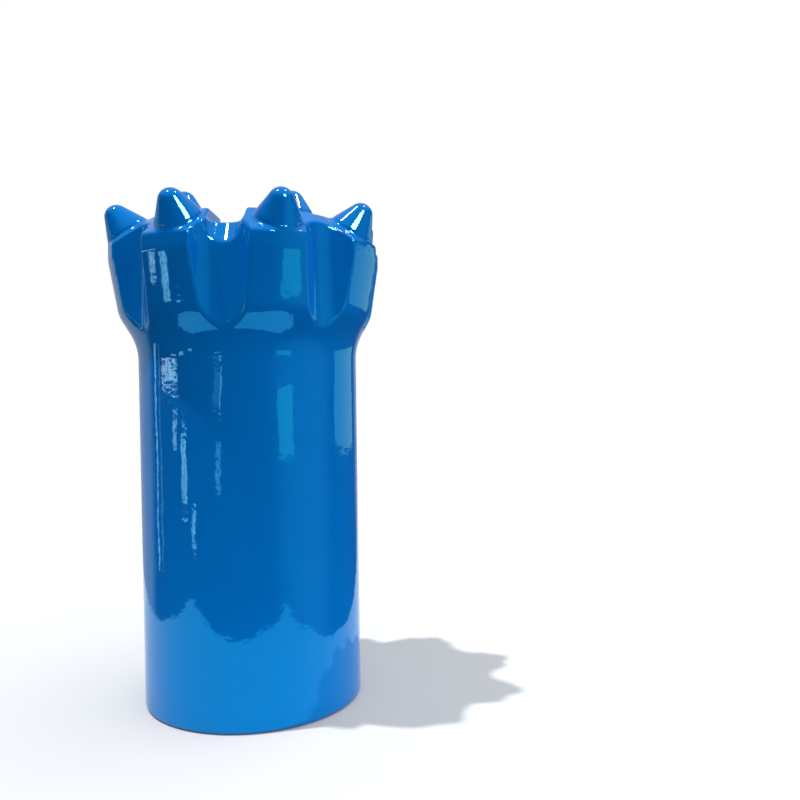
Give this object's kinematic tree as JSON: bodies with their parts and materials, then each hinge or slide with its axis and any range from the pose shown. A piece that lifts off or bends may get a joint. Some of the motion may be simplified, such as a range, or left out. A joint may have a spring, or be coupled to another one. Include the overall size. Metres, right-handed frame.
{
  "type": "button drill bit",
  "caption": "Threaded drop-centre button bit for rock drilling: straight round skirt, flared notched head, domed carbide buttons on the gauge cone, face and sunk centre, painted blue.",
  "frame": {"origin": "centre of the skirt's flat end face, on the bit's axis", "axes": "+Z along the bit's axis from the skirt to the cutting face; +X through one of the four chip grooves"},
  "size_m": [0.0986, 0.0986, 0.187],
  "materials": {
    "blue_enamel": "thick glossy saturated blue enamel over forged steel",
    "blue_enamel_buttons": "the same glossy blue enamel over polished cemented carbide"
  },
  "bodies": {
    "root": {"bit_body": "blue_enamel", "gauge_button_1": "blue_enamel_buttons", "gauge_button_2": "blue_enamel_buttons", "gauge_button_3": "blue_enamel_buttons", "gauge_button_4": "blue_enamel_buttons", "gauge_button_5": "blue_enamel_buttons", "gauge_button_6": "blue_enamel_buttons", "gauge_button_7": "blue_enamel_buttons", "gauge_button_8": "blue_enamel_buttons", "face_button_1": "blue_enamel_buttons", "face_button_2": "blue_enamel_buttons", "face_button_3": "blue_enamel_buttons", "face_button_4": "blue_enamel_buttons", "centre_button_1": "blue_enamel_buttons", "centre_button_2": "blue_enamel_buttons"}
  },
  "joints": []
}
